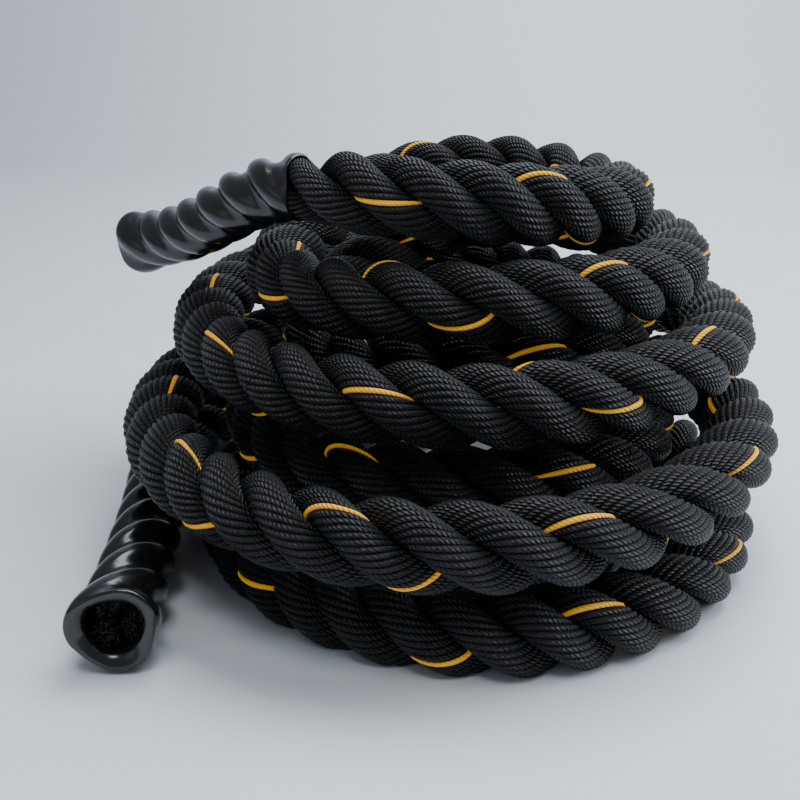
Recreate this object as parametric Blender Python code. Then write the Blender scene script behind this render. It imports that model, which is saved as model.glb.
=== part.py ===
"""Battle rope, piled in a round coil of eight turns.

The rope is three strands laid round each other. Each end goes into a heat-shrunk grip sleeve, whose film
follows the strands and ends in a flared, rolled lip. Metres, +Z up. The floor is z = 0 and the origin is
the middle of the bounding box at the floor. The route is given in pitches, the distance at which two
turns of the coil lie side by side.
"""
import math

import bmesh
import bpy
import numpy as np

# driving sizes, metres
ROPE_DIAMETER = 0.038
SLEEVE_LENGTH = 0.182
FILM_WALL = 0.0012
PIECE_GAP = 0.0003              # left between two pieces that touch

# the rope's build, as shares of the rope's diameter
PITCH_SHARE = 1.10              # from one turn of the coil to the next
LAY_SHARE = 2.40                # along the rope for one full turn of a strand
SHRUNK_CENTRE_SHARE = 0.235     # rope axis to a strand's middle, under the film
SHRUNK_STRAND_SHARE = 0.173     # strand's radius across the rope, under the film
FILM_SAG_SHARE = 0.012          # the film's dip between two strands
ROUTE_STEP_SHARE = 0.05         # spacing of the route's worked points, in pitches

LAY_PHASE_DEGREES = 8           # where the first strand stands at the rope's near end
# pitches along the rope, and the degrees that the lay has run ahead there
LAY_DRIFT_SHARES = ((0, 0), (4.4, 120), (150.3, 120), (154.7, 240))
RINGS_PER_LAY = 15
POINTS_PER_TURN = 24
FLAT_POINTS = 3                 # points of the film between two strands

# The rolled lip, from the plain outer skin over the end face and back to the inner skin:
# distance from the end face in pitches, size against the plain skin, roundness.
LIP_SHARES = (
    (0.50, 1.020, 0.05),
    (0.33, 1.080, 0.15),
    (0.19, 1.160, 0.30),
    (0.08, 1.220, 0.42),
    (0.02, 1.210, 0.50),
    (0.00, 1.120, 0.52),
    (0.02, 0.950, 0.55),
    (0.07, 0.800, 0.62),
    (0.14, 0.745, 0.72),
    (0.20, 0.790, 0.60),
    (0.25, 0.880, 0.40),
)
LIP_END_SHARE = 0.58            # from here on the sleeve's outside is plain
INSIDE_FROM_SHARE = 0.30        # and from here its inside
STRAND_START_SHARE = 0.34       # the strands are cut off this far inside the end face

# Turns from the bottom up, clockwise seen from above, in pitches:
# furthest left, furthest back, furthest right, furthest forward, and the rope's height at each of them.
TURN_SHARES = (
    ((-3.45, 17.05, 4.15, 8.68), (0.48, 0.365, 0.365, 0.365)),
    ((-2.20, 15.95, 2.95, 10.00), (0.365, 0.365, 0.365, 0.40)),
    ((-0.84, 14.80, 3.10, 9.90), (0.60, 1.38, 1.40, 1.40)),
    ((-1.90, 15.95, 4.20, 8.45), (1.40, 1.42, 1.455, 1.41)),
    ((-3.12, 17.12, 4.19, 9.64), (1.46, 1.56, 2.43, 2.40)),
    ((-2.54, 16.85, 3.10, 11.05), (2.44, 2.58, 2.44, 2.40)),
    ((-1.22, 16.05, 3.61, 10.56), (2.34, 3.36, 3.38, 3.28)),
    ((-1.58, 15.30, 2.87, 11.05), (3.24, 4.27, 4.07, 4.30)),
)
BEFORE_FRONT_SHARE = 8.60             # the front that the first turn comes from
AFTER_LEFT_SHARE = -1.60              # the left and the back that the last turn makes for
AFTER_BACK_SHARE = 15.40
AFTER_HEIGHT_SHARE = 4.40
COIL_FROM_SHARE = 0.35                # quarter turns, from the first turn's left
COIL_PAST_SHARE = 0.52                # quarter turns past the last turn's front
PER_QUARTER = 12

# Shifts of single stretches: where in quarter turns, then to the right, away and up.
SHIFT_SHARES = (
    (2.60, (0.02, -0.02, 0.00)),
    (14.00, (0.08, 0.24, 0.04)),
    (16.60, (0.00, 0.00, 0.08)),
    (17.50, (0.22, 0.16, 0.00)),
    (20.45, (-0.14, 0.14, 0.14)),
    (21.40, (0.04, 0.06, -0.02)),
)
SHIFT_REACH_SHARE = 0.9

# The near end lies on the floor beside the coil, and the top end hangs over its left side.
NEAR_END_SHARES = (
    (-2.81, 8.50, 0.495),
    (-2.89, 9.60, 0.455),
    (-3.01, 10.75, 0.428),
    (-3.15, 11.85, 0.425),
    (-3.31, 12.90, 0.440),
)
TOP_END_SHARES = (
    (-1.52, 12.22, 4.33),
    (-2.20, 12.95, 3.94),
    (-3.02, 14.00, 3.47),
    (-3.86, 14.98, 3.20),
)
SMOOTHING_ROUNDS = 160
MIDDLE_SHARES = (0.266, 12.831)       # middle of the bounding box in the route's frame

# sizes that follow
RADIUS = ROPE_DIAMETER / 2
PITCH = PITCH_SHARE * ROPE_DIAMETER
LAY = LAY_SHARE * ROPE_DIAMETER
CENTRE_RADIUS = SHRUNK_CENTRE_SHARE * ROPE_DIAMETER
STRAND_RADIUS = SHRUNK_STRAND_SHARE * ROPE_DIAMETER
# a strand crosses the rope at its lay angle, so its section there is wider round the rope
STRAND_WIDTH = STRAND_RADIUS * math.hypot(1, 2 * math.pi * CENTRE_RADIUS / LAY)
FILM_SAG = FILM_SAG_SHARE * ROPE_DIAMETER


def swing(quarters, values, q):
    """Cosine swing from each extreme to the next, two quarter turns apart."""
    quarters, values = np.array(quarters, float), np.array(values, float)
    i = np.clip(np.searchsorted(quarters, q, side="right") - 1, 0, len(quarters) - 2)
    t = (q - quarters[i]) / (quarters[i + 1] - quarters[i])
    return values[i] + (values[i + 1] - values[i]) * (1 - np.cos(np.pi * t)) / 2


def glide(values, q):
    """Smooth curve through values that stand one quarter turn apart."""
    v = np.array(values, float)
    last = len(v) - 1
    i = np.clip(np.floor(q).astype(int), 0, last - 1)
    t = q - i
    a, b, c, d = v[np.maximum(i - 1, 0)], v[i], v[i + 1], v[np.minimum(i + 2, last)]
    return b + t / 2 * ((c - a) + t * ((2 * a - 5 * b + 4 * c - d) + t * (3 * (b - c) + d - a)))


def coil_route():
    """The piled turns, bottom to top, in pitches."""
    end = 4 * len(TURN_SHARES)
    q = np.arange(COIL_FROM_SHARE, end - 1 + COIL_PAST_SHARE, 1 / PER_QUARTER)
    sides = [value for turn, _ in TURN_SHARES for value in (turn[0], turn[2])] + [AFTER_LEFT_SHARE]
    depths = [value for turn, _ in TURN_SHARES for value in (turn[1], turn[3])] + [AFTER_BACK_SHARE]
    heights = [value for _, turn in TURN_SHARES for value in turn] + [AFTER_HEIGHT_SHARE]
    x = swing(range(0, end + 1, 2), sides, q)
    y = swing(range(-1, end + 2, 2), [BEFORE_FRONT_SHARE] + depths, q)
    route = np.stack([x, y, glide(heights, q)], 1)
    for middle, shift in SHIFT_SHARES:
        reach = np.clip(np.abs(q - middle) / SHIFT_REACH_SHARE, 0, 1)
        route += (1 + np.cos(np.pi * reach))[:, None] / 2 * np.array(shift)
    return route


def curve_through(points, step):
    """Centripetal Catmull-Rom curve through the points."""
    p = np.vstack([2 * points[0] - points[1], points, 2 * points[-1] - points[-2]])
    curve = []
    for a, b, c, d in zip(p, p[1:], p[2:], p[3:]):
        u, v, w = (math.sqrt(np.linalg.norm(k)) for k in (b - a, c - b, d - c))
        leave = v * ((b - a) / u - (c - a) / (u + v) + (c - b) / v)
        arrive = v * ((c - b) / v - (d - b) / (v + w) + (d - c) / w)
        t = np.linspace(0, 1, max(2, int(v * v / step)), endpoint=False)[:, None]
        cubic, square = 2 * (b - c) + leave + arrive, 3 * (c - b) - 2 * leave - arrive
        curve.append(cubic * t**3 + square * t**2 + leave * t + b)
    return np.vstack(curve + [points[-1:]])


def even_steps(points, step):
    """The same line with points at even distances, and those distances."""
    run = np.concatenate([[0], np.cumsum(np.linalg.norm(np.diff(points, axis=0), axis=1))])
    at = np.linspace(0, run[-1], int(round(run[-1] / step)) + 1)
    return np.stack([np.interp(at, run, points[:, k]) for k in range(3)], 1), at


class Route:
    """The rope's centre line in metres, with a frame that doesn't spin along it."""

    def __init__(self):
        shape = np.vstack([np.array(NEAR_END_SHARES), coil_route(), np.array(TOP_END_SHARES)])
        line, _ = even_steps(curve_through(shape, ROUTE_STEP_SHARE), ROUTE_STEP_SHARE)
        for _ in range(SMOOTHING_ROUNDS):
            line[1:-1] = line[1:-1] / 2 + (line[:-2] + line[2:]) / 4
        line = (line - np.array([*MIDDLE_SHARES, 0])) * PITCH
        self.points, self.run = even_steps(line, ROUTE_STEP_SHARE * PITCH)
        self.length = self.run[-1]
        ahead = np.gradient(self.points, axis=0)
        self.ahead = ahead / np.linalg.norm(ahead, axis=1)[:, None]
        side = np.cross([0, 0, 1], self.ahead[0])
        sides = []
        for direction in self.ahead:
            side = side - direction * side.dot(direction)
            side = side / np.linalg.norm(side)
            sides.append(side)
        self.side = np.array(sides)

    def at(self, distance, values=None):
        """Point, or another value kept at each point, this far along the rope."""
        values = self.points if values is None else values
        return np.array([np.interp(distance, self.run, values[:, k]) for k in range(3)])

    def place(self, distance, outline):
        """Points of a flat outline, given as (across, up), set square to the rope."""
        ahead, side = self.at(distance, self.ahead), self.at(distance, self.side)
        ahead = ahead / np.linalg.norm(ahead)
        side = side - ahead * side.dot(ahead)
        side = side / np.linalg.norm(side)
        up = np.cross(ahead, side)
        return [self.at(distance) + side * x + up * y for x, y in outline]


def lay_angle(distance):
    """Angle at which the first strand stands, from sideways towards up, this far along the rope."""
    drift = np.interp(distance / PITCH, *zip(*LAY_DRIFT_SHARES))
    return math.radians(LAY_PHASE_DEGREES + drift) + math.tau * distance / LAY


def turned(outline, angle):
    c, s = math.cos(angle), math.sin(angle)
    return [(c * x - s * y, s * x + c * y) for x, y in outline]


def strand_point(angle, extra):
    """Point on the outside of a strand that stands on the +X side, grown by extra."""
    reach, width = STRAND_RADIUS + extra, STRAND_WIDTH + extra
    return CENTRE_RADIUS + reach * math.cos(angle), width * math.sin(angle)


def film_outline(extra):
    """Film stretched over the three strands: over each crown, then across to the next."""
    outline = []
    for third in range(3):
        crown = [strand_point(math.radians(a), extra) for a in range(-60, 90, 30)]
        crown = turned(crown, third * math.tau / 3)
        start = crown[-1]
        end = turned([strand_point(math.radians(-60), extra)], (third + 1) * math.tau / 3)[0]
        middle = math.atan2(start[1] + end[1], start[0] + end[0])
        outline += crown
        for k in range(1, FLAT_POINTS + 1):
            t = k / (FLAT_POINTS + 1)
            sag = FILM_SAG * 4 * t * (1 - t)
            outline.append((
                start[0] + (end[0] - start[0]) * t - sag * math.cos(middle),
                start[1] + (end[1] - start[1]) * t - sag * math.sin(middle)))
    return outline


def swollen(outline, size, roundness):
    """The outline grown by size and drawn towards a circle by roundness."""
    radii = [math.hypot(*p) for p in outline]
    mean = sum(radii) / len(radii)
    return [(x * size * (1 + roundness * (mean / r - 1)), y * size * (1 + roundness * (mean / r - 1)))
            for (x, y), r in zip(outline, radii)]


def loft(name, rings, ring_closes):
    """Closed body through rings of equal count. Each four-sided patch is split along its crest."""
    mesh = bmesh.new()
    rows = [[mesh.verts.new(p) for p in ring] for ring in rings]
    count = len(rows[0])
    pairs = list(zip(rows, rows[1:]))
    if ring_closes:
        pairs.append((rows[-1], rows[0]))
    else:
        mesh.faces.new(rows[0])
        mesh.faces.new(rows[-1])
    for low, high in pairs:
        for k in range(count):
            a, b, c, d = low[k], low[(k + 1) % count], high[(k + 1) % count], high[k]
            if (a.co - c.co).length < (b.co - d.co).length:
                mesh.faces.new((a, b, c))
                mesh.faces.new((a, c, d))
            else:
                mesh.faces.new((a, b, d))
                mesh.faces.new((b, c, d))
    bmesh.ops.recalc_face_normals(mesh, faces=mesh.faces)
    data = bpy.data.meshes.new(name)
    mesh.to_mesh(data)
    mesh.free()
    data.shade_smooth()
    return bpy.data.objects.new(name, data)


def ring_distances():
    """Where a sleeve and its strands have their rings, from the end face to the mouth."""
    start, end = STRAND_START_SHARE * PITCH, SLEEVE_LENGTH
    count = math.ceil((end - start) / (LAY / RINGS_PER_LAY))
    return [start + (end - start) * k / count for k in range(count + 1)]


def sleeve(name, route, from_end):
    """Grip sleeve: outer skin, rolled lip and inner skin as one body. from_end turns a distance
    from the end face into one along the rope."""
    outer, inner = film_outline(FILM_WALL + PIECE_GAP), film_outline(PIECE_GAP)

    def ring(distance, outline):
        along = from_end(distance)
        return route.place(along, turned(outline, lay_angle(along)))

    plain = ring_distances()
    rings = [ring(d, outer) for d in reversed(plain) if d > LIP_END_SHARE * PITCH]
    rings += [ring(d * PITCH, swollen(outer, size, roundness)) for d, size, roundness in LIP_SHARES]
    rings += [ring(d, inner) for d in [INSIDE_FROM_SHARE * PITCH] + plain]
    return loft(name, rings, True)


def strand_end(name, route, from_end, third):
    """One of the three strands inside a sleeve, from its cut face to the sleeve's mouth."""
    section = turned([strand_point(math.radians(a), 0) for a in range(0, 360, 30)], third * math.tau / 3)
    rings = []
    for distance in ring_distances():
        along = from_end(distance)
        rings.append(route.place(along, turned(section, lay_angle(along))))
    return loft(name, rings, False)


def coil_points(route):
    """Centre points of the wound tube. Its ends run straight for one diameter out of the sleeves."""
    start, end = SLEEVE_LENGTH + PIECE_GAP, route.length - SLEEVE_LENGTH - PIECE_GAP
    first, last = route.at(start), route.at(end)
    out = route.at(start, route.ahead)
    into = route.at(end, route.ahead)
    inner_start, inner_end = start + 1.8 * ROPE_DIAMETER, end - 1.8 * ROPE_DIAMETER
    count = POINTS_PER_TURN * len(TURN_SHARES) - 4
    middle = [route.at(s) for s in np.linspace(inner_start, inner_end, count)]
    straight_out = first + out / np.linalg.norm(out) * ROPE_DIAMETER
    straight_in = last - into / np.linalg.norm(into) * ROPE_DIAMETER
    return [first, straight_out] + middle + [straight_in, last]


def wound_tube(name, points):
    """Round tube along the points as a mesh, with its caps welded on."""
    curve = bpy.data.curves.new(name, "CURVE")
    curve.dimensions = "3D"
    curve.twist_mode = "Z_UP"
    curve.bevel_depth = RADIUS
    curve.bevel_resolution = 1
    curve.use_fill_caps = True
    spline = curve.splines.new("POLY")
    spline.points.add(len(points) - 1)
    for target, point in zip(spline.points, points):
        target.co = (*point, 1)
    guide = bpy.data.objects.new(name + "_guide", curve)
    bpy.context.scene.collection.objects.link(guide)
    bpy.context.view_layer.update()
    data = bpy.data.meshes.new_from_object(guide.evaluated_get(bpy.context.evaluated_depsgraph_get()))
    bpy.data.objects.remove(guide)
    mesh = bmesh.new()
    mesh.from_mesh(data)
    bmesh.ops.remove_doubles(mesh, verts=mesh.verts, dist=0.00001)
    bmesh.ops.recalc_face_normals(mesh, faces=mesh.faces)
    mesh.to_mesh(data)
    mesh.free()
    data.name = name
    data.shade_smooth()
    return bpy.data.objects.new(name, data)


def least_gap(points):
    """Smallest gap between two stretches of the tube that aren't neighbours, in millimetres."""
    line, run = even_steps(np.array(points), ROPE_DIAMETER / 10)
    least = math.inf
    for i in range(len(line)):
        far = line[run > run[i] + 2 * ROPE_DIAMETER]
        if len(far):
            least = min(least, np.linalg.norm(far - line[i], axis=1).min())
    return (least - ROPE_DIAMETER) * 1000


def material(name, colour, roughness):
    made = bpy.data.materials.new(name)
    made.use_nodes = True
    surface = made.node_tree.nodes["Principled BSDF"]
    surface.inputs["Base Color"].default_value = (*colour, 1)
    surface.inputs["Roughness"].default_value = roughness
    surface.inputs["Metallic"].default_value = 0
    return made


for old in list(bpy.data.objects):
    bpy.data.objects.remove(old)

rope = bpy.data.collections.new("battle_rope")
cutters = bpy.data.collections.new("cutters")
bpy.context.scene.collection.children.link(rope)
bpy.context.scene.collection.children.link(cutters)
base = bpy.data.objects.new("battle_rope_base", None)
rope.objects.link(base)

yarn = material("black_rope_yarn", (0.018, 0.018, 0.019), 0.55)
cut_yarn = material("black_cut_strand", (0.022, 0.022, 0.024), 0.6)
film = material("black_shrink_film", (0.02, 0.02, 0.022), 0.35)

route = Route()
ends = {
    "near": lambda distance: distance,
    "top": lambda distance: route.length - distance,
}
pieces = []

tube_points = coil_points(route)
coil = wound_tube("rope_coil", tube_points)
pieces.append((coil, yarn))

bpy.ops.mesh.primitive_cube_add(size=1)
floor = bpy.context.object
floor.name = "floor_cutter"
floor.scale = (12 * PITCH, 12 * PITCH, PITCH)
floor.location = (0, 0, -PITCH / 2)
floor.hide_render = True
floor.display_type = "WIRE"
for collection in list(floor.users_collection):
    collection.objects.unlink(floor)
cutters.objects.link(floor)
flatten = coil.modifiers.new("flat_on_the_floor", "BOOLEAN")
flatten.operation = "DIFFERENCE"
flatten.object = floor

for end, from_end in ends.items():
    pieces.append((sleeve(f"grip_sleeve_{end}", route, from_end), film))
    for third in range(3):
        pieces.append((strand_end(f"strand_end_{end}_{third + 1}", route, from_end, third), cut_yarn))

for piece, look in pieces:
    piece.data.materials.clear()
    piece.data.materials.append(look)
    piece.parent = base
    rope.objects.link(piece)

print(f"rope length {route.length:.3f} m, least gap of the coil {least_gap(tube_points):.2f} mm")
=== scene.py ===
"""Battle rope, dressed: three laid strands of twisted yarns, piled in a coil, with a grip on each end.

Metres, +Z up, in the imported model's frame. The route is part.py's own, in pitches. One pitch is the
distance from the middle of a turn to the middle of the turn beside it.
"""
import math

import bmesh
import bpy
import numpy as np
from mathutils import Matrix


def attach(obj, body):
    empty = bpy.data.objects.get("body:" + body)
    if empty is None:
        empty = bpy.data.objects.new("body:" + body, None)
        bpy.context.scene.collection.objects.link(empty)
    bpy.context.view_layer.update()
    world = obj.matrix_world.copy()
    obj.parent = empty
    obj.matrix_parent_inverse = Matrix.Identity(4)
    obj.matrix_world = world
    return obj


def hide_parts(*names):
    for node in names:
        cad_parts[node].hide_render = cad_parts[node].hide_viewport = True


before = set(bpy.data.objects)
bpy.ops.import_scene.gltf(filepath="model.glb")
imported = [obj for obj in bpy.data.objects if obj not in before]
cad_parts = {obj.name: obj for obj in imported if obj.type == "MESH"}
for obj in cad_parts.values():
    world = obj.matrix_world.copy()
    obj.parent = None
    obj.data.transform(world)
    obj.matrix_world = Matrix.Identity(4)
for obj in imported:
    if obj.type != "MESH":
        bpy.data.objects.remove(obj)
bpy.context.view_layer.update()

# sizes of the rope
ROPE_DIAMETER = 0.038
SLEEVE_LENGTH = 0.182
FILM_WALL = 0.0012
PIECE_GAP = 0.0003

# the rope's build, in rope diameters
PITCH_SHARE = 1.10
LAY_SHARE = 2.40
CENTRE_SHARE = 0.275             # rope axis to a strand's middle, in the open
STRAND_SHARE = 0.225             # strand's radius in the open
SHRUNK_CENTRE_SHARE = 0.235      # the same two under the film
SHRUNK_STRAND_SHARE = 0.173
YARN_TURN_SHARE = 1.07           # along a strand for one turn of its yarns against the rope's outside
FILM_SAG_SHARE = 0.012

# and in pitches
SWELL_SHARE = 0.60               # length over which the rope swells out of a sleeve
ROUTE_STEP_SHARE = 0.05
LAY_PHASE = 8                    # degrees at the near end
# pitches along the rope, and the degrees that the lay has run ahead there
LAY_DRIFT = (
    (0, 0), (4.4, 120), (19.0, 50), (20.6, 50), (21.3, 62), (22.5, 96), (23.8, 117), (25.1, 150),
    (52.5, 130), (55.5, 148), (71.2, 101), (72.2, 78), (73.4, 60), (78.7, 58), (97.4, -24), (99.4, -8),
    (102.7, -23), (131.5, 0), (133.6, 34), (136.7, 11), (142.1, 90), (144.4, 75), (146.9, 90), (148.1, 128),
    (149.5, 138), (150.3, 124), (154.7, 240))
# and the degrees that a strand's own yarns have run ahead
YARN_DRIFT = (
    (0, 146), (19.5, 146), (21.7, 90), (23.1, 90), (25.2, 20), (55.9, 20), (71.5, 161), (73.9, 177),
    (75.4, 195), (76.15, 135), (77.7, 155), (78.4, 92), (96.2, 206), (97.9, 270), (98.65, 235), (100.2, 272),
    (102.6, 264), (105, 290), (132.8, 403), (135.3, 423), (141.2, 372), (143.7, 430), (145.3, 393),
    (147.4, 303), (148.9, 354), (154.7, 354))

YARNS = 13                       # outer yarns of a strand
POINTS_PER_YARN = 4              # of the ring that is swept along a strand
YARN_RELIEF = 0.0011             # depth of the valleys between yarns
VALLEY_POWER = 3                 # higher for narrower valleys
YARN_UNEVENNESS = 0.00022        # how far a yarn's crown rises and falls along it
UNEVEN_PER_METRE = 42
UNEVEN_YARN_STEP = 3.7           # in the noise, so that no two yarns run alike
UNEVEN_STRAND_STEP = 91.3
STRAND_FLOOR = 0.0002            # lowest that a strand comes
RING_STEP = 0.0018               # along a strand
SAMPLES_PER_ROUTE_STEP = 4       # with which a strand's length is measured
STRETCHES = 3                    # pieces that each strand is made in
TRACER_STRAND = 0
TRACER_YARN = 0
HIDDEN_RING_STEP = 0.0027        # along a strand inside a sleeve
HEART_STEP = 0.0058              # along a strand's core
HEART_RADIUS_SHARE = 0.86        # core against its strand
HEART_SIDES = 10
HEART_FLOOR = 0.0006             # lowest that a core comes

# cut yarns in the sleeves' mouths
STUB_RADIUS = 0.0005
STUB_TAPER = 0.6                 # tip against foot
STUB_LENGTH = 0.005
STUB_SIDES = 5
STUB_LUMPS = 0.0011
STUB_LUMP_SCALE = 900.0
STUB_SIZES = (0.75, 1.15)        # smallest and largest against a plain stub
STUB_STEP = 0.00115              # from one stub to the next in a row
STUB_ROW_SHARE = 0.87            # from row to row, against that step
STUB_ROWS = 9                    # on each side of a strand's middle
STUB_MARGINS = (0.0008, 0.001)   # left bare inside a strand's edge, outwards and round the rope
STUB_STRAY = 0.0002
STUB_DEPTH_STRAY = 0.0012
STUB_LEAN = 0.3
STUB_SEED = 5

# The rolled lip: distance from the end face in pitches, size against the plain skin, roundness.
LIP_SHARES = (
    (0.50, 1.020, 0.05),
    (0.33, 1.080, 0.15),
    (0.19, 1.160, 0.30),
    (0.08, 1.220, 0.42),
    (0.02, 1.210, 0.50),
    (0.00, 1.120, 0.52),
    (0.02, 0.950, 0.55),
    (0.07, 0.800, 0.62),
    (0.14, 0.745, 0.72),
    (0.20, 0.790, 0.60),
    (0.25, 0.880, 0.40),
)
LIP_STEP_SHARE = 0.02
LIP_END_SHARE = 0.58             # where the plain outer skin ends
INSIDE_FROM_SHARE = 0.30         # where the inner skin begins
STRAND_START_SHARE = 0.34        # where the strands are cut
FILM_RINGS = 44                  # rings of film for one lay
FILM_HUG = 60                    # degrees on each side of a strand's crown where the film lies on it
FILM_ARC_STEP = 10               # degrees there from point to point
FILM_BRIDGE_POINTS = 6           # on the film from one strand to the next
MOUTH_ROUND = 0.0002             # the film's edge stands out this far in its middle

# Turns from the bottom up, clockwise seen from above, in pitches:
# furthest left, furthest back, furthest right, furthest forward, and the rope's height at each of them.
TURN_SHARES = (
    ((-3.45, 17.05, 4.15, 8.68), (0.48, 0.365, 0.365, 0.365)),
    ((-2.20, 15.95, 2.95, 10.00), (0.365, 0.365, 0.365, 0.40)),
    ((-0.84, 14.80, 3.10, 9.90), (0.60, 1.38, 1.40, 1.40)),
    ((-1.90, 15.95, 4.20, 8.45), (1.40, 1.42, 1.455, 1.41)),
    ((-3.12, 17.12, 4.19, 9.64), (1.46, 1.56, 2.43, 2.40)),
    ((-2.54, 16.85, 3.10, 11.05), (2.44, 2.58, 2.44, 2.40)),
    ((-1.22, 16.05, 3.61, 10.56), (2.34, 3.36, 3.38, 3.28)),
    ((-1.58, 15.30, 2.87, 11.05), (3.24, 4.27, 4.07, 4.30)),
)
BEFORE_FRONT_SHARE = 8.60
AFTER_LEFT_SHARE = -1.60
AFTER_BACK_SHARE = 15.40
AFTER_HEIGHT_SHARE = 4.40
COIL_FROM_SHARE = 0.35
COIL_PAST_SHARE = 0.52
PER_QUARTER = 12
# Where one turn has to make way for another: quarter turns along the coil, and the shift there.
SHIFT_SHARES = (
    (2.60, (0.02, -0.02, 0.00)),
    (14.00, (0.08, 0.24, 0.04)),
    (16.60, (0.00, 0.00, 0.08)),
    (17.50, (0.22, 0.16, 0.00)),
    (20.45, (-0.14, 0.14, 0.14)),
    (21.40, (0.04, 0.06, -0.02)),
)
SHIFT_REACH_SHARE = 0.9
# The ends that lie beside the coil, point by point, in pitches.
NEAR_END_SHARES = (
    (-2.81, 8.50, 0.495),
    (-2.89, 9.60, 0.455),
    (-3.01, 10.75, 0.428),
    (-3.15, 11.85, 0.425),
    (-3.31, 12.90, 0.440),
)
TOP_END_SHARES = (
    (-1.52, 12.22, 4.33),
    (-2.20, 12.95, 3.94),
    (-3.02, 14.00, 3.47),
    (-3.86, 14.98, 3.20),
)
SMOOTHING_ROUNDS = 160
MIDDLE_SHARES = (0.266, 12.831)  # the part's middle

# The photograph's eye in the route's frame, in pitches, and its fall below the horizon.
EYE_SHARES = (0.0, 0.0, 5.75)
EYE_FALL = math.radians(18.7)
EYE_LENS = 45
EYE_SENSOR = 36

# black yarn: its plies, which lie nearly along the strand, and its colours: painted shade in the valleys,
# painted light on the ply crowns
PLY_ROUND, PLY_ALONG = 0.97, 0.2
PLY_STEP = 0.0015                # from one ply to the next
PLY_CHANCE = 0.004               # plies of one yarn against the next
PLY_WANDER = 0.0009
WANDER_PER_YARN = 0.6
WANDER_PER_METRE = 260
FIBRES_ACROSS = 9000             # per metre, across the plies and along the strand
FIBRES_ALONG = 150
YARN_BUMP = 0.0007
YARN_VALLEY_BUMP = 1.1           # the dark line between yarns, against the height of a ply
FIBRE_BUMP = 0.3
YARN_VALLEY_PAINTED_SHADE = (0.0005, 0.0005, 0.0006, 1)
YARN_CROWN_PAINTED_LIGHT = (0.010, 0.011, 0.0135, 1)
YARN_ROUGHNESS = 0.55
YARN_CROWN_GLOSS = 0.2           # roughness that a crown has less
YARN_SPECULAR = 0.45
YARN_SHADE_CHANCE = 0.4          # how much the shades of two yarns can differ
# height on a yarn, from 0 in the valley to 1 on the crown, where each of these begins and is full; the lit
# ones are where the painted light begins and is full
VALLEY_EDGE = (0.0, 0.3)
YARN_PAINTED_LIT = (0.12, 0.7)
TRACER_SEEN = (0.12, 0.3)
TRACER_PAINTED_LIT = (0.25, 0.75)
# the tracer yarn's own yellow, with painted shade at its edges and a painted glint on its plies
TRACER_EDGE_PAINTED_SHADE = (0.80, 0.22, 0.0, 1)
TRACER_CROWN = (1.0, 0.56, 0.01, 1)
TRACER_PAINTED_GLINT = (1.0, 0.72, 0.08, 1)
TRACER_PAINTED_GLINT_SHARE = 0.3
# strength of the painted glow of the yellow yarn
TRACER_PAINTED_GLOW = 0.22

# shrink film: scales of its noises, bump, shades and gloss
FILM_WAVES = 260.0
FILM_PORES = 2600.0
FILM_PORE_SHARE = 0.1
FILM_SMEARS = 90.0
FILM_BUMP = 0.0005
FILM_BUMP_STRENGTH = 0.3
FILM_SHADES = ((0.004, 0.004, 0.004, 1), (0.009, 0.009, 0.010, 1))
FILM_ROUGHNESS = 0.17
FILM_SMEAR_ROUGHNESS = 0.1
FILM_SPECULAR = 0.72

# cut yarn, inner yarn and paper in the same way
CUT_FIBRES = 2200.0
CUT_BUMP = 0.0006
CUT_BUMP_STRENGTH = 0.9
CUT_SHADES = ((0.008, 0.008, 0.008, 1), (0.09, 0.09, 0.085, 1))
CUT_ROUGHNESS = 0.2
CUT_FIBRE_ROUGHNESS = 0.3
INNER_FIBRES = 900.0
INNER_SHADES = ((0.004, 0.004, 0.004, 1), (0.012, 0.012, 0.012, 1))
INNER_ROUGHNESS = 0.7
INNER_FIBRE_ROUGHNESS = 0.2
PAPER_GRAIN = 1.4
PAPER_SHADES = ((0.76, 0.81, 0.87, 1), (0.80, 0.85, 0.91, 1))
PAPER_ROUGHNESS = 0.6

# the studio: a floor that runs up into a wall far behind
FLOOR_FRONT = -1.6
SWEEP_FROM = 1.9
SWEEP_RADIUS = 0.9
SWEEP_STEPS = 17
WALL_TOP = 3.2
FLOOR_HALF_WIDTH = 3.5
WORLD_TINT = (0.82, 0.90, 1.0, 1)
WORLD_STRENGTH = 0.27
# name, place, point looked at, size, watts and tint
LAMPS = (
    ("overhead", (0.35, 0.3, 1.3), (0.05, 0, 0.05), (1.1, 0.8), 21, (0.90, 0.95, 1.0)),
    ("ceiling_lamp", (-0.12, -0.5, 1.0), (-0.05, 0, 0.15), (0.38, 0.32), 3.4, (0.95, 0.98, 1.0)),
    ("right_window", (1.4, 0.1, 0.7), (0, 0, 0.1), (0.7, 0.9), 19, (0.88, 0.94, 1.0)),
    ("left_fill", (-1.1, -0.9, 0.6), (0, 0, 0.1), (0.8, 0.6), 0.5, (1.0, 0.99, 0.97)),
    ("wall_wash", (0.8, 1.2, 1.5), (0.7, 2.8, 0.7), (1.6, 0.5), 40, (0.90, 0.95, 1.0)),
)

PITCH = PITCH_SHARE * ROPE_DIAMETER
LAY = LAY_SHARE * ROPE_DIAMETER
STRAND_RADIUS = STRAND_SHARE * ROPE_DIAMETER
FILM_SAG = FILM_SAG_SHARE * ROPE_DIAMETER
SHRUNK_CENTRE = SHRUNK_CENTRE_SHARE * ROPE_DIAMETER
SHRUNK_STRAND = SHRUNK_STRAND_SHARE * ROPE_DIAMETER
# a strand crosses the rope at its lay angle, so its section there is wider round the rope
SHRUNK_WIDTH = SHRUNK_STRAND * math.hypot(1, math.tau * SHRUNK_CENTRE / LAY)


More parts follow.
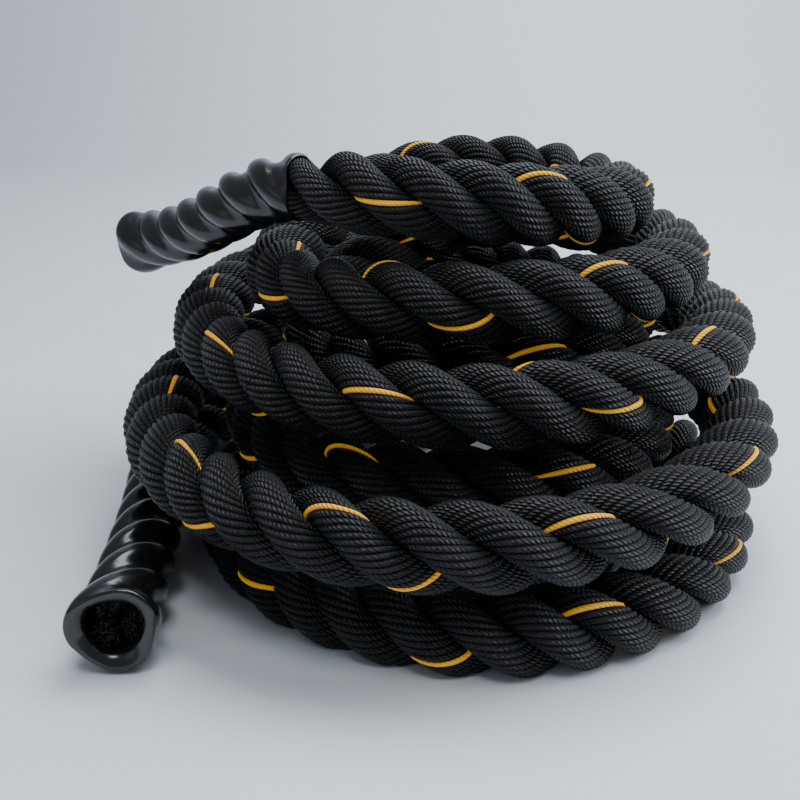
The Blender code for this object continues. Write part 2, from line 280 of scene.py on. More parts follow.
class Value:
    """A node's output. Sums, differences and products of values add Math nodes."""

    def __init__(self, tree, socket):
        self.tree = tree
        self.socket = socket

    def worked(self, operation, *others):
        return self.tree.add("ShaderNodeMath", {"operation": operation}, dict(enumerate((self, *others))))

    def __add__(self, other):
        return self.worked("ADD", other)

    def __mul__(self, other):
        return self.worked("MULTIPLY", other)

    def __sub__(self, other):
        return self.worked("SUBTRACT", other)

    def __rsub__(self, other):
        return self.worked("MULTIPLY", -1).worked("ADD", other)

    def __truediv__(self, other):
        return self.worked("DIVIDE", other)

    def __pow__(self, other):
        return self.worked("POWER", other)


class Tree:
    """A node tree that is being put together."""

    def __init__(self, nodes):
        self.nodes = nodes

    def add(self, kind, settings=None, inputs=None, out=0):
        """One node: its settings, then its sockets' values or links. Gives the output asked for."""
        node = self.nodes.nodes.new(kind)
        for name, value in (settings or {}).items():
            setattr(node, name, value)
        for name, value in (inputs or {}).items():
            if isinstance(value, Value):
                self.nodes.links.new(value.socket, node.inputs[name])
            else:
                node.inputs[name].default_value = value
        return Value(self, node.outputs[out])

    def vector(self, x, y, z=0.0):
        return self.add("ShaderNodeCombineXYZ", None, {0: x, 1: y, 2: z})

    def part(self, vector, which):
        return self.add("ShaderNodeSeparateXYZ", None, {0: vector}, out=which)

    def blend(self, share, first, second):
        """Colour between first and second."""
        return self.add("ShaderNodeMix", {"data_type": "RGBA"}, {0: share, 6: first, 7: second}, out=2)

    def grain(self, vector, scale, detail=2.0, roughness=0.5):
        return self.add("ShaderNodeTexNoise", None,
                        {"Vector": vector, "Scale": scale, "Detail": detail, "Roughness": roughness})

    def place(self):
        """Place in the object's own frame, for finishes."""
        return self.add("ShaderNodeTexCoord", out=3)

    def bump(self, strength, distance, height):
        inputs = {"Strength": strength, "Distance": distance, "Height": height}
        return self.add("ShaderNodeBump", None, inputs)

    def between(self, value, low, high):
        """0 below low, 1 above high, smooth between them."""
        return self.add("ShaderNodeMapRange", {"interpolation_type": "SMOOTHSTEP"},
                        {0: value, 1: low, 2: high})


def swing(quarters, values, q):
    """Cosine swing from each extreme to the next, two quarter turns apart."""
    quarters, values = np.array(quarters, float), np.array(values, float)
    i = np.clip(np.searchsorted(quarters, q, side="right") - 1, 0, len(quarters) - 2)
    t = (q - quarters[i]) / (quarters[i + 1] - quarters[i])
    return values[i] + (values[i + 1] - values[i]) * (1 - np.cos(np.pi * t)) / 2


def glide(values, q):
    """Smooth curve through values that stand one quarter turn apart."""
    v = np.array(values, float)
    last = len(v) - 1
    i = np.clip(np.floor(q).astype(int), 0, last - 1)
    t = q - i
    a, b, c, d = v[np.maximum(i - 1, 0)], v[i], v[i + 1], v[np.minimum(i + 2, last)]
    return b + t / 2 * ((c - a) + t * ((2 * a - 5 * b + 4 * c - d) + t * (3 * (b - c) + d - a)))


def coil_route():
    """The piled turns, bottom to top, in pitches."""
    end = 4 * len(TURN_SHARES)
    q = np.arange(COIL_FROM_SHARE, end - 1 + COIL_PAST_SHARE, 1 / PER_QUARTER)
    sides = [value for turn, _ in TURN_SHARES for value in (turn[0], turn[2])] + [AFTER_LEFT_SHARE]
    depths = [value for turn, _ in TURN_SHARES for value in (turn[1], turn[3])] + [AFTER_BACK_SHARE]
    heights = [value for _, turn in TURN_SHARES for value in turn] + [AFTER_HEIGHT_SHARE]
    x = swing(range(0, end + 1, 2), sides, q)
    y = swing(range(-1, end + 2, 2), [BEFORE_FRONT_SHARE] + depths, q)
    route = np.stack([x, y, glide(heights, q)], 1)
    for middle, shift in SHIFT_SHARES:
        reach = np.clip(np.abs(q - middle) / SHIFT_REACH_SHARE, 0, 1)
        route += (1 + np.cos(np.pi * reach))[:, None] / 2 * np.array(shift)
    return route


def curve_through(points, step):
    """Centripetal Catmull-Rom curve through the points."""
    p = np.vstack([2 * points[0] - points[1], points, 2 * points[-1] - points[-2]])
    curve = []
    for a, b, c, d in zip(p, p[1:], p[2:], p[3:]):
        u, v, w = (math.sqrt(np.linalg.norm(k)) for k in (b - a, c - b, d - c))
        leave = v * ((b - a) / u - (c - a) / (u + v) + (c - b) / v)
        arrive = v * ((c - b) / v - (d - b) / (v + w) + (d - c) / w)
        t = np.linspace(0, 1, max(2, int(v * v / step)), endpoint=False)[:, None]
        cubic, square = 2 * (b - c) + leave + arrive, 3 * (c - b) - 2 * leave - arrive
        curve.append(cubic * t**3 + square * t**2 + leave * t + b)
    return np.vstack(curve + [points[-1:]])


def even_steps(points, step):
    """The same line with points at even distances, and those distances."""
    run = np.concatenate([[0], np.cumsum(np.linalg.norm(np.diff(points, axis=0), axis=1))])
    at = np.linspace(0, run[-1], int(round(run[-1] / step)) + 1)
    return np.stack([np.interp(at, run, points[:, k]) for k in range(3)], 1), at


def unit(vectors):
    return vectors / np.linalg.norm(vectors, axis=-1, keepdims=True)


class Route:
    """The rope's centre line in metres, with a frame that doesn't spin along it."""

    def __init__(self):
        shape = np.vstack([np.array(NEAR_END_SHARES), coil_route(), np.array(TOP_END_SHARES)])
        line, _ = even_steps(curve_through(shape, ROUTE_STEP_SHARE), ROUTE_STEP_SHARE)
        for _ in range(SMOOTHING_ROUNDS):
            line[1:-1] = line[1:-1] / 2 + (line[:-2] + line[2:]) / 4
        line = (line - np.array([*MIDDLE_SHARES, 0])) * PITCH
        self.points, self.run = even_steps(line, ROUTE_STEP_SHARE * PITCH)
        self.length = self.run[-1]
        self.ahead = unit(np.gradient(self.points, axis=0))
        side = np.cross([0, 0, 1], self.ahead[0])
        sides = []
        for direction in self.ahead:
            side = unit(side - direction * side.dot(direction))
            sides.append(side)
        self.side = np.array(sides)

    def at(self, distances, values=None):
        """Points, or other values kept at each point, these distances along the rope."""
        values = self.points if values is None else values
        return np.stack([np.interp(distances, self.run, values[:, k]) for k in range(3)], -1)

    def frames(self, distances):
        """Middle, sideways and upward directions at these distances."""
        ahead = unit(self.at(distances, self.ahead))
        side = self.at(distances, self.side)
        side = unit(side - ahead * (side * ahead).sum(-1, keepdims=True))
        return self.at(distances), side, np.cross(ahead, side)

    def held(self, distances):
        """1 inside the sleeves, falling to 0 where the rope has swollen out of them."""
        from_end = np.minimum(distances, self.length - distances)
        out = np.clip((from_end - SLEEVE_LENGTH) / (SWELL_SHARE * PITCH), 0, 1)
        return 1 - out * out * (3 - 2 * out)


def new_piece(name, mesh, finish):
    """Object with one finish. Its place is in its mesh."""
    mesh.name = name
    mesh.materials.clear()
    mesh.materials.append(finish)
    piece = bpy.data.objects.new(name, mesh)
    bpy.context.scene.collection.objects.link(piece)
    return piece


def geometry_tree(name, sizes):
    """Empty geometry tree with named inputs. Gives the group, its tree and its input values."""
    group = bpy.data.node_groups.new(name, "GeometryNodeTree")
    kinds = {int: "NodeSocketInt", float: "NodeSocketFloat"}
    group.interface.new_socket("Geometry", in_out="INPUT", socket_type="NodeSocketGeometry")
    group.interface.new_socket("Geometry", in_out="OUTPUT", socket_type="NodeSocketGeometry")
    for label, start in sizes.items():
        socket = group.interface.new_socket(label, in_out="INPUT", socket_type=kinds[type(start)])
        socket.default_value = start
    group.interface.new_socket("Finish", in_out="INPUT", socket_type="NodeSocketMaterial")
    tree = Tree(group)
    entry = group.nodes.new("NodeGroupInput")
    given = {socket.name: Value(tree, socket) for socket in entry.outputs if socket.name}
    return group, tree, given


def close_tree(tree, geometry, finish):
    """Realize Instances, Set Material and the tree's output."""
    solid = tree.add("GeometryNodeRealizeInstances", None, {"Geometry": geometry})
    done = tree.add("GeometryNodeSetMaterial", None, {"Geometry": solid, "Material": finish})
    exit_node = tree.nodes.nodes.new("NodeGroupOutput")
    tree.nodes.links.new(done.socket, exit_node.inputs[0])


def grown(name, guide_mesh, group, sizes, finish):
    """Piece that the tree makes from a guide, as a plain mesh."""
    guide = bpy.data.objects.new(name + "_guide", guide_mesh)
    bpy.context.scene.collection.objects.link(guide)
    modifier = guide.modifiers.new("grow", "NODES")
    modifier.node_group = group
    for socket in group.interface.items_tree:
        if socket.in_out == "INPUT" and socket.name in sizes:
            modifier[socket.identifier] = sizes[socket.name]
        if socket.in_out == "INPUT" and socket.name == "Finish":
            modifier[socket.identifier] = finish
    bpy.context.view_layer.update()
    mesh = bpy.data.meshes.new_from_object(guide.evaluated_get(bpy.context.evaluated_depsgraph_get()))
    bpy.data.objects.remove(guide)
    return new_piece(name, mesh, finish)


def lay_angle(distances, third=0):
    """Angle at which a strand stands, from sideways towards up, at these distances along the rope."""
    distances = np.asarray(distances)
    drift = np.interp(distances / PITCH, *zip(*LAY_DRIFT))
    return np.radians(LAY_PHASE + drift) + math.tau * (distances / LAY + third / 3)


def strand_line(route, distances, third):
    """Middle of one strand and the direction out of the rope, at these distances along the rope."""
    middle, side, up = route.frames(distances)
    held = route.held(distances)[:, None]
    centre = (CENTRE_SHARE + (SHRUNK_CENTRE_SHARE - CENTRE_SHARE) * held) * ROPE_DIAMETER
    angle = lay_angle(distances, third)[:, None]
    out = np.cos(angle) * side + np.sin(angle) * up
    return middle + centre * out, out


def strand_guide(route, start, end, third, step):
    """Line of edges along a strand, with the outward direction of its first yarn, girth and run."""
    samples = int(route.length / ROUTE_STEP_SHARE / PITCH * SAMPLES_PER_ROUTE_STEP)
    full = np.linspace(0, route.length, samples)
    whole, _ = strand_line(route, full, third)
    whole_run = np.concatenate([[0], np.cumsum(np.linalg.norm(np.diff(whole, axis=0), axis=1))])
    first, last = np.interp([start, end], full, whole_run)
    run = np.linspace(first, last, max(2, int(round((last - first) / step))) + 1)
    distances = np.interp(run, whole_run, full)
    line, out = strand_line(route, distances, third)
    ahead = unit(np.gradient(line, axis=0))
    out = unit(out - ahead * (out * ahead).sum(1, keepdims=True))
    turn = np.radians(np.interp(distances / PITCH, *zip(*YARN_DRIFT)))
    turn = (turn - math.tau * run / (YARN_TURN_SHARE * ROPE_DIAMETER))[:, None]
    facing = np.cos(turn) * out + np.sin(turn) * np.cross(ahead, out)
    girth = 1 + (SHRUNK_STRAND_SHARE / STRAND_SHARE - 1) * route.held(distances)
    mesh = bpy.data.meshes.new("strand_guide")
    mesh.from_pydata(line.tolist(), [(k, k + 1) for k in range(len(line) - 1)], [])
    for label, kind, field, values in (
            ("facing", "FLOAT_VECTOR", "vector", facing),
            ("girth", "FLOAT", "value", girth),
            ("run", "FLOAT", "value", run)):
        mesh.attributes.new(label, kind, "POINT").data.foreach_set(field, values.ravel())
    return mesh


def settled(tree, skin, floor):
    """The skin with nothing lower than the floor."""
    place = tree.add("GeometryNodeInputPosition")
    height = tree.part(place, 2).worked("MAXIMUM", floor)
    lifted = tree.vector(tree.part(place, 0), tree.part(place, 1), height)
    return tree.add("GeometryNodeSetPosition", None, {"Geometry": skin, "Position": lifted})


def strand_tree():
    """Tree that sweeps a ring of yarns along a strand's guide."""
    group, tree, given = geometry_tree("laid_strand", {
        "Yarns": YARNS, "Points per yarn": POINTS_PER_YARN, "Strand radius": STRAND_RADIUS,
        "Yarn relief": YARN_RELIEF, "Unevenness": YARN_UNEVENNESS, "Floor": STRAND_FLOOR, "Strand number": 0})

    def kept(name, kind):
        return tree.add("GeometryNodeInputNamedAttribute", {"data_type": kind}, {"Name": name})

    line = tree.add("GeometryNodeMeshToCurve", None, {"Mesh": given["Geometry"]})
    line = tree.add("GeometryNodeSetCurveNormal", {"mode": "FREE"},
                    {"Curve": line, "Normal": kept("facing", "FLOAT_VECTOR")})
    points = given["Yarns"] * given["Points per yarn"]
    ring = tree.add("GeometryNodeCurvePrimitiveCircle", None,
                    {"Resolution": points, "Radius": given["Strand radius"]})
    index = tree.add("GeometryNodeInputIndex")
    valley = (index * math.pi / given["Points per yarn"]).worked("COSINE").worked("ABSOLUTE")
    valley = valley ** VALLEY_POWER
    sunk = 1 - valley * given["Yarn relief"] / given["Strand radius"]
    place = tree.add("GeometryNodeInputPosition")
    dented = tree.add("ShaderNodeVectorMath", {"operation": "SCALE"}, {0: place, "Scale": sunk})
    ring = tree.add("GeometryNodeSetPosition", None, {"Geometry": ring, "Position": dented})
    ring = tree.add("GeometryNodeStoreNamedAttribute", {"data_type": "FLOAT", "domain": "POINT"},
                    {"Geometry": ring, "Name": "ring_point", "Value": index})
    ring = tree.add("GeometryNodeStoreNamedAttribute", {"data_type": "FLOAT", "domain": "POINT"},
                    {"Geometry": ring, "Name": "crown", "Value": 1 - valley})
    skin = tree.add("GeometryNodeCurveToMesh", None, {
        "Curve": line, "Profile Curve": ring, "Scale": kept("girth", "FLOAT"), "Fill Caps": True})

    yarn = (kept("ring_point", "FLOAT") / given["Points per yarn"]).worked("FLOOR")
    row = yarn * UNEVEN_YARN_STEP + given["Strand number"] * UNEVEN_STRAND_STEP
    where = tree.vector(row, kept("run", "FLOAT") * UNEVEN_PER_METRE)
    rise = (tree.grain(where, 1.0, 2.0) - 0.5) * 2 * given["Unevenness"] * kept("crown", "FLOAT")
    normal = tree.add("GeometryNodeInputNormal")
    offset = tree.add("ShaderNodeVectorMath", {"operation": "SCALE"}, {0: normal, "Scale": rise})
    skin = tree.add("GeometryNodeSetPosition", None, {"Geometry": skin, "Offset": offset})
    skin = settled(tree, skin, given["Floor"])

    # the chart counts yarns across, with the seam's last column unwrapped, and metres along
    corner_point = tree.add("GeometryNodeVertexOfCorner").worked("MODULO", points)
    column = tree.add("GeometryNodeFaceOfCorner").worked("MODULO", points)
    unwrapped = corner_point + points * corner_point.worked("LESS_THAN", column)
    chart = tree.vector(unwrapped / given["Points per yarn"], kept("run", "FLOAT"))
    skin = tree.add("GeometryNodeStoreNamedAttribute", {"data_type": "FLOAT2", "domain": "CORNER"},
                    {"Geometry": skin, "Name": "yarn_chart", "Value": chart})
    close_tree(tree, skin, given["Finish"])
    return group


def heart_tree():
    """Tree for the inner yarns of a strand, as one plain core under the outer yarns."""
    group, tree, given = geometry_tree("strand_heart", {"Core radius": HEART_RADIUS_SHARE * STRAND_RADIUS})
    line = tree.add("GeometryNodeMeshToCurve", None, {"Mesh": given["Geometry"]})
    ring = tree.add("GeometryNodeCurvePrimitiveCircle", None,
                    {"Resolution": HEART_SIDES, "Radius": given["Core radius"]})
    girth = tree.add("GeometryNodeInputNamedAttribute", {"data_type": "FLOAT"}, {"Name": "girth"})
    core = tree.add("GeometryNodeCurveToMesh", None,
                    {"Curve": line, "Profile Curve": ring, "Scale": girth, "Fill Caps": True})
    close_tree(tree, settled(tree, core, HEART_FLOOR), given["Finish"])
    return group


def joined(name, pieces, finish):
    """One piece from several."""
    mesh = bmesh.new()
    for piece in pieces:
        mesh.from_mesh(piece.data)
    data = bpy.data.meshes.new(name)
    mesh.to_mesh(data)
    mesh.free()
    for piece in pieces:
        bpy.data.objects.remove(piece)
    data.shade_smooth()
    return new_piece(name, data, finish)


def turned(outline, angle):
    """The outline turned about the rope's middle."""
    c, s = math.cos(angle), math.sin(angle)
    return [(c * x - s * y, s * x + c * y) for x, y in outline]


def film_outline(extra):
    """Film stretched over the three shrunk strands: over each crown, then across to the next."""
    def strand_point(angle):
        return (SHRUNK_CENTRE + (SHRUNK_STRAND + extra) * math.cos(angle),
                (SHRUNK_WIDTH + extra) * math.sin(angle))

    outline = []
    for third in range(3):
        crown = [strand_point(math.radians(a)) for a in range(-FILM_HUG, FILM_HUG + 1, FILM_ARC_STEP)]
        crown = turned(crown, third * math.tau / 3)
        start = crown[-1]
        end = turned([strand_point(math.radians(-FILM_HUG))], (third + 1) * math.tau / 3)[0]
        middle = math.atan2(start[1] + end[1], start[0] + end[0])
        outline += crown
        for k in range(1, FILM_BRIDGE_POINTS + 1):
            t = k / (FILM_BRIDGE_POINTS + 1)
            sag = FILM_SAG * 4 * t * (1 - t)
            outline.append((
                start[0] + (end[0] - start[0]) * t - sag * math.cos(middle),
                start[1] + (end[1] - start[1]) * t - sag * math.sin(middle)))
    return outline


def swollen(outline, size, roundness):
    """The outline grown by size and drawn towards a circle by roundness."""
    radii = [math.hypot(*p) for p in outline]
    mean = sum(radii) / len(radii)
    return [(x * size * (1 + roundness * (mean / r - 1)), y * size * (1 + roundness * (mean / r - 1)))
            for (x, y), r in zip(outline, radii)]


def loft(name, rings, finish):
    """Closed skin through rings that come round to the first."""
    mesh = bmesh.new()
    rows = [[mesh.verts.new(p) for p in ring] for ring in rings]
    count = len(rows[0])
    for low, high in zip(rows, rows[1:] + rows[:1]):
        for k in range(count):
            mesh.faces.new((low[k], low[(k + 1) % count], high[(k + 1) % count], high[k]))
    bmesh.ops.recalc_face_normals(mesh, faces=mesh.faces)
    data = bpy.data.meshes.new(name)
    mesh.to_mesh(data)
    mesh.free()
    data.shade_smooth()
    return new_piece(name, data, finish)


def sleeve(name, route, from_end, finish):
    """Grip sleeve: outer skin, rolled lip and inner skin. from_end turns a distance from the end
    face into one along the rope."""
    outer, inner = film_outline(FILM_WALL + PIECE_GAP), film_outline(PIECE_GAP)

    def ring(distance, outline):
        along = from_end(distance)
        middle, side, up = route.frames(along)
        flat = turned(outline, lay_angle(along))
        return [middle + side * x + up * y for x, y in flat]

    step = LAY / FILM_RINGS
    plain_from, inside_from = LIP_END_SHARE * PITCH, INSIDE_FROM_SHARE * PITCH
    mouth = SLEEVE_LENGTH
    outside = np.linspace(mouth, plain_from, int((mouth - plain_from) / step))
    inside = np.linspace(inside_from, mouth, int((mouth - inside_from) / step / 2))
    rings = [ring(d, outer) for d in outside]
    lip = curve_through(np.array(LIP_SHARES), LIP_STEP_SHARE)
    rings += [ring(d * PITCH, swollen(outer, size, roundness)) for d, size, roundness in lip]
    rings += [ring(d, inner) for d in inside]
    # the mouth's edge is rounded
    rings.append(ring(mouth + MOUTH_ROUND, film_outline(PIECE_GAP + FILM_WALL / 3)))
    rings.append(ring(mouth + MOUTH_ROUND, film_outline(PIECE_GAP + FILM_WALL * 2 / 3)))
    return loft(name, rings, finish)


def surface_of(name):
    """New material: its tree and its shader node."""
    finish = bpy.data.materials.new(name)
    finish.use_nodes = True
    finish.node_tree.nodes.clear()
    tree = Tree(finish.node_tree)
    shader = finish.node_tree.nodes.new("ShaderNodeBsdfPrincipled")
    output = finish.node_tree.nodes.new("ShaderNodeOutputMaterial")
    finish.node_tree.links.new(shader.outputs[0], output.inputs[0])
    return finish, tree, shader


def set_sockets(tree, shader, sockets):
    """Links or values for the shader's sockets."""
    for name, value in sockets.items():
        if isinstance(value, Value):
            tree.nodes.links.new(value.socket, shader.inputs[name])
        else:
            shader.inputs[name].default_value = value


def yarn_finish(name, tracer):
    """Black plied yarn. tracer is the number of the yellow yarn, or None."""
    finish, tree, shader = surface_of(name)
    chart = tree.add("ShaderNodeUVMap", {"uv_map": "yarn_chart"})
    across, run = tree.part(chart, 0), tree.part(chart, 1)
    number = across.worked("FLOOR")
    within = across - number - 0.5
    chance = tree.add("ShaderNodeTexWhiteNoise", {"noise_dimensions": "1D"}, {"W": number + 0.5})
    # plies lie nearly along the strand, so they cross each yarn slantwise
    round_strand = across * (math.tau * STRAND_RADIUS / YARNS)
    round_strand = round_strand - run * (math.tau * STRAND_SHARE / YARN_TURN_SHARE)
    wander = tree.grain(tree.vector(across * WANDER_PER_YARN, run * WANDER_PER_METRE), 1.0, 2.0)
    phase = round_strand * PLY_ROUND + run * PLY_ALONG + chance * PLY_CHANCE + wander * PLY_WANDER
    ply = (phase * (math.tau / PLY_STEP)).worked("SINE") * 0.5 + 0.5
    fibres = tree.grain(tree.vector(phase * FIBRES_ACROSS, run * FIBRES_ALONG), 1.0, 2.0, 0.6)
    crown = 1 - within.worked("ABSOLUTE") * 2
    height = ply + fibres * FIBRE_BUMP + tree.between(crown, *VALLEY_EDGE) * YARN_VALLEY_BUMP
    bump = tree.bump(1.0, YARN_BUMP, height)
    own_shade = chance * YARN_SHADE_CHANCE + (1 - YARN_SHADE_CHANCE / 2)
    # painted shade in the valleys and between plies, painted light on the ply crowns, times each yarn's own
    # tone
    painted_light_and_tone = ply * tree.between(crown, *YARN_PAINTED_LIT) * own_shade
    colour = tree.blend(painted_light_and_tone, YARN_VALLEY_PAINTED_SHADE, YARN_CROWN_PAINTED_LIGHT)
    if tracer is not None:
        # painted shade at the yellow yarn's edges and a painted glint on its plies
        yellow = tree.blend(tree.between(crown, *TRACER_PAINTED_LIT), TRACER_EDGE_PAINTED_SHADE, TRACER_CROWN)
        yellow = tree.blend(ply * TRACER_PAINTED_GLINT_SHARE, yellow, TRACER_PAINTED_GLINT)
        mask = (number - tracer).worked("COMPARE", 0.0, 0.1) * tree.between(crown, *TRACER_SEEN)
        colour = tree.blend(mask, colour, yellow)
        # painted glow: the yellow yarn gives off light of its own, though it is no lamp
        set_sockets(tree, shader, {
            "Emission Color": tree.blend(mask, (0, 0, 0, 1), yellow), "Emission Strength": TRACER_PAINTED_GLOW})
    set_sockets(tree, shader, {
        "Base Color": colour, "Roughness": painted_light_and_tone * -YARN_CROWN_GLOSS + YARN_ROUGHNESS, "Normal": bump,
        "Specular IOR Level": YARN_SPECULAR})
    return finish


def film_finish():
    """Black shrink film, glossy with a faint unevenness."""
    finish, tree, shader = surface_of("black_shrink_film")
    place = tree.place()
    waves = tree.grain(place, FILM_WAVES, 2.0)
    pores = tree.grain(place, FILM_PORES, 2.0)
    height = waves * (1 - FILM_PORE_SHARE) + pores * FILM_PORE_SHARE
    bump = tree.bump(FILM_BUMP_STRENGTH, FILM_BUMP, height)
    smear = tree.grain(place, FILM_SMEARS, 3.0)
    set_sockets(tree, shader, {
        "Base Color": tree.blend(smear, *FILM_SHADES),
        "Roughness": smear * FILM_SMEAR_ROUGHNESS + FILM_ROUGHNESS, "Normal": bump,
        "Specular IOR Level": FILM_SPECULAR})
    return finish


def cut_finish():
    """Cut and melted ends of black yarn."""
    finish, tree, shader = surface_of("black_cut_yarn")
    fibres = tree.grain(tree.place(), CUT_FIBRES, 3.0, 0.7)
    bump = tree.bump(CUT_BUMP_STRENGTH, CUT_BUMP, fibres)
    set_sockets(tree, shader, {
        "Base Color": tree.blend(fibres, *CUT_SHADES),
        "Roughness": fibres * CUT_FIBRE_ROUGHNESS + CUT_ROUGHNESS, "Normal": bump})
    return finish


def heart_finish():
    """Inner yarns, which show only as darkness between the outer ones."""
    finish, tree, shader = surface_of("black_inner_yarn")
    fibres = tree.grain(tree.place(), INNER_FIBRES, 2.0)
    set_sockets(tree, shader, {
        "Base Color": tree.blend(fibres, *INNER_SHADES),
        "Roughness": fibres * INNER_FIBRE_ROUGHNESS + INNER_ROUGHNESS})
    return finish


def cut_yarns_tree():
    """Tree that stands a stub of yarn on each point of its guide."""
    group, tree, given = geometry_tree("cut_yarns", {"Stub radius": STUB_RADIUS, "Stub length": STUB_LENGTH})
    stub = tree.add("GeometryNodeMeshCone", {"fill_type": "NGON"}, {
        "Vertices": STUB_SIDES, "Side Segments": 2, "Radius Top": given["Stub radius"] * STUB_TAPER,
        "Radius Bottom": given["Stub radius"], "Depth": given["Stub length"]})
    where = tree.add("GeometryNodeInputPosition")
    lumps = tree.add("ShaderNodeTexNoise", None, {"Vector": where, "Scale": STUB_LUMP_SCALE}, out=1)
    lumps = tree.add("ShaderNodeVectorMath", {"operation": "SUBTRACT"}, {0: lumps, 1: (0.5, 0.5, 0.5)})
    lumps = tree.add("ShaderNodeVectorMath", {"operation": "SCALE"}, {0: lumps, "Scale": STUB_LUMPS})
    stub = tree.add("GeometryNodeSetPosition", None, {"Geometry": stub, "Offset": lumps})
    facing = tree.add("GeometryNodeInputNamedAttribute", {"data_type": "FLOAT_VECTOR"}, {"Name": "facing"})
    rotation = tree.add("FunctionNodeAlignRotationToVector", {"axis": "Z"}, {"Vector": facing})
    spin = tree.add("FunctionNodeRandomValue", {"data_type": "FLOAT"},
                    {2: 0.0, 3: math.tau, "Seed": 3}, out=1)
    spun = tree.add("FunctionNodeRotateRotation", {"rotation_space": "LOCAL"},
                    {0: rotation, 1: tree.vector(0.0, 0.0, spin)})
    size = tree.add("FunctionNodeRandomValue", {"data_type": "FLOAT"},
                    {2: STUB_SIZES[0], 3: STUB_SIZES[1], "Seed": 8}, out=1)
    stubs = tree.add("GeometryNodeInstanceOnPoints", None,
                     {"Points": given["Geometry"], "Instance": stub, "Rotation": spun, "Scale": size})
    close_tree(tree, stubs, given["Finish"])
    return group


def cut_guide(route, from_end, outward):
    """Points over the three cut faces of an end, with the direction out of them."""
    chance = np.random.default_rng(STUB_SEED)
    distance = from_end(STRAND_START_SHARE * PITCH)
    edge_out, edge_round = SHRUNK_STRAND - STUB_MARGINS[0], SHRUNK_WIDTH - STUB_MARGINS[1]
    points, directions = [], []
    for third in range(3):
        middle, _ = strand_line(route, np.array([distance]), third)
        _, side, up = route.frames(np.array([distance]))
        ahead = unit(np.cross(side, up)) * outward
        angle = lay_angle(distance, third)
        out = math.cos(angle) * side + math.sin(angle) * up
        width = np.cross(ahead, out)
        for row in range(-STUB_ROWS, STUB_ROWS + 1):
            for column in range(-STUB_ROWS, STUB_ROWS + 1):
                x = (column + row % 2 / 2) * STUB_STEP
                y = row * STUB_STEP * STUB_ROW_SHARE
                if math.hypot(x / edge_out, y / edge_round) > 1:
                    continue
                x, y = x + chance.normal(0, STUB_STRAY), y + chance.normal(0, STUB_STRAY)
                deep = chance.uniform(-STUB_DEPTH_STRAY, STUB_DEPTH_STRAY)
                points.append((middle + out * x + width * y + ahead * deep)[0])
                lean = ahead + out * chance.normal(0, STUB_LEAN) + width * chance.normal(0, STUB_LEAN)
                directions.append(unit(lean)[0])
    mesh = bpy.data.meshes.new("cut_guide")
    mesh.from_pydata([tuple(p) for p in points], [], [])
    facing = mesh.attributes.new("facing", "FLOAT_VECTOR", "POINT")
    facing.data.foreach_set("vector", np.array(directions).ravel())
    return mesh


def lamp(name, place, aim, size, power, tint):
    """Soft rectangular light that looks at a point."""
    light = bpy.data.lights.new(name, "AREA")
    light.shape = "RECTANGLE"
    light.size, light.size_y = size
    light.energy = power
    light.color = tint
    holder = bpy.data.objects.new(name, light)
    bpy.context.scene.collection.objects.link(holder)
    holder.location = place
    gaze = np.array(aim, float) - np.array(place, float)
    flat = math.hypot(gaze[0], gaze[1])
    holder.rotation_euler = (math.atan2(flat, -gaze[2]), 0, math.atan2(-gaze[0], gaze[1]))


# the camera
eye = bpy.data.cameras.new("camera")
eye.lens = EYE_LENS
eye.sensor_width = EYE_SENSOR
eye.clip_start = 0.01
camera = bpy.data.objects.new("camera", eye)
bpy.context.scene.collection.objects.link(camera)
camera.location = (np.array(EYE_SHARES) - (*MIDDLE_SHARES, 0)) * PITCH
camera.rotation_euler = (math.pi / 2 - EYE_FALL, 0, 0)
bpy.context.scene.camera = camera

# the rope
route = Route()
near_face, top_face = STRAND_START_SHARE * PITCH, route.length - STRAND_START_SHARE * PITCH
near_mouth, top_mouth = SLEEVE_LENGTH, route.length - SLEEVE_LENGTH

plain_yarn = yarn_finish("black_yarn", None)
traced_yarn = yarn_finish("black_yarn_with_tracer", TRACER_YARN)
inner_yarn = heart_finish()
film = film_finish()
cut_yarn = cut_finish()

heart = heart_tree()
cores = [
    grown(f"core_{third}", strand_guide(route, near_face, top_face, third, HEART_STEP), heart, {}, inner_yarn)
    for third in range(3)]
rope_heart = joined("rope_heart", cores, inner_yarn)

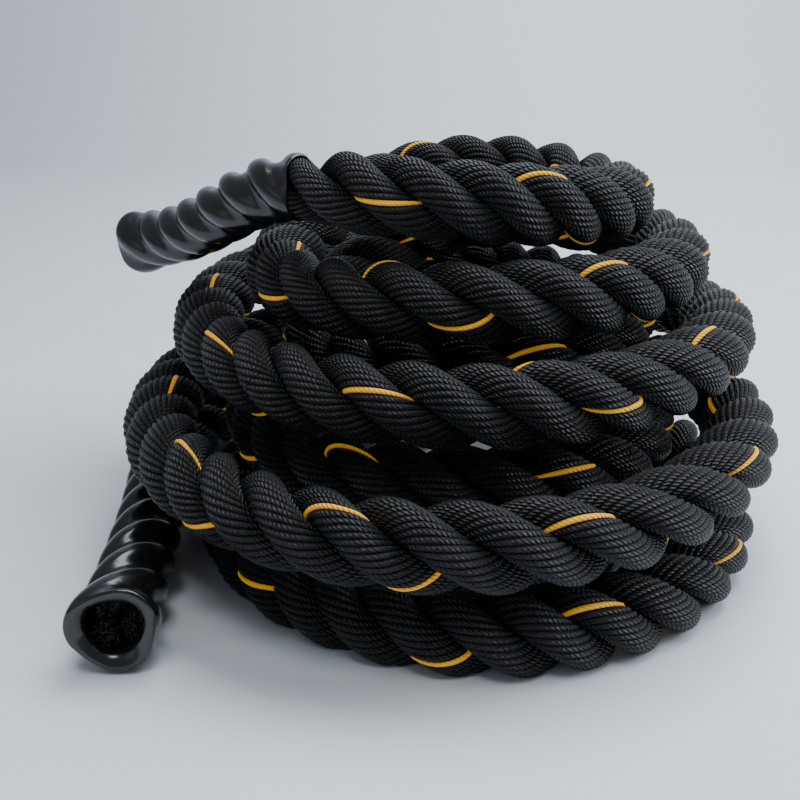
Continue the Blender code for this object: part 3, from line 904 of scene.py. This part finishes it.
with_it = []
laid = strand_tree()
bounds_along = np.linspace(near_mouth, top_mouth, STRETCHES + 1)
for third in range(3):
    finish = traced_yarn if third == TRACER_STRAND else plain_yarn
    for stretch, (start, end) in enumerate(zip(bounds_along, bounds_along[1:])):
        guide = strand_guide(route, start, end, third, RING_STEP)
        name = f"strand_{third + 1}_stretch_{stretch + 1}"
        piece = grown(name, guide, laid, {"Strand number": third}, finish)
        with_it.append(piece)
    for end, (start, stop) in {"near": (near_face, near_mouth), "top": (top_mouth, top_face)}.items():
        guide = strand_guide(route, start, stop, third, HIDDEN_RING_STEP)
        piece = grown(f"strand_in_{end}_sleeve_{third + 1}", guide, laid, {"Strand number": third}, finish)
        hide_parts(f"strand_end_{end}_{third + 1}")
        with_it.append(piece)

stubs = cut_yarns_tree()
for end, from_end, outward in (("near", lambda d: d, -1), ("top", lambda d: route.length - d, 1)):
    cover = sleeve(f"{end}_sleeve", route, from_end, film)
    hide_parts(f"grip_sleeve_{end}")
    face = grown(f"cut_yarns_{end}", cut_guide(route, from_end, outward), stubs, {}, cut_yarn)
    with_it += [cover, face]

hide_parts("rope_coil")
for piece in [rope_heart] + with_it:
    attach(piece, "root")

# the floor, which runs up into a wall far behind
sweep_mesh = bmesh.new()
profile = [(FLOOR_FRONT, 0.0)]
for angle in np.linspace(0, math.pi / 2, SWEEP_STEPS):
    back, rise = SWEEP_RADIUS * math.sin(angle), SWEEP_RADIUS * (1 - math.cos(angle))
    profile.append((SWEEP_FROM + back, rise))
profile.append((SWEEP_FROM + SWEEP_RADIUS, WALL_TOP))
rows = [[sweep_mesh.verts.new((x, y, z)) for y, z in profile] for x in (-FLOOR_HALF_WIDTH, FLOOR_HALF_WIDTH)]
for k in range(len(profile) - 1):
    sweep_mesh.faces.new((rows[0][k], rows[1][k], rows[1][k + 1], rows[0][k + 1]))
sweep_data = bpy.data.meshes.new("floor")
sweep_mesh.to_mesh(sweep_data)
sweep_mesh.free()
sweep_data.shade_smooth()
paper, paper_tree, paper_shader = surface_of("pale_paper")
paper_grain = paper_tree.grain(paper_tree.place(), PAPER_GRAIN, 2.0)
set_sockets(paper_tree, paper_shader, {
    "Base Color": paper_tree.blend(paper_grain, *PAPER_SHADES), "Roughness": PAPER_ROUGHNESS})
floor = new_piece("floor", sweep_data, paper)

# the light
world = bpy.data.worlds.new("studio")
bpy.context.scene.world = world
world.use_nodes = True
world.node_tree.nodes["Background"].inputs[0].default_value = WORLD_TINT
world.node_tree.nodes["Background"].inputs[1].default_value = WORLD_STRENGTH
for settings in LAMPS:
    lamp(*settings)
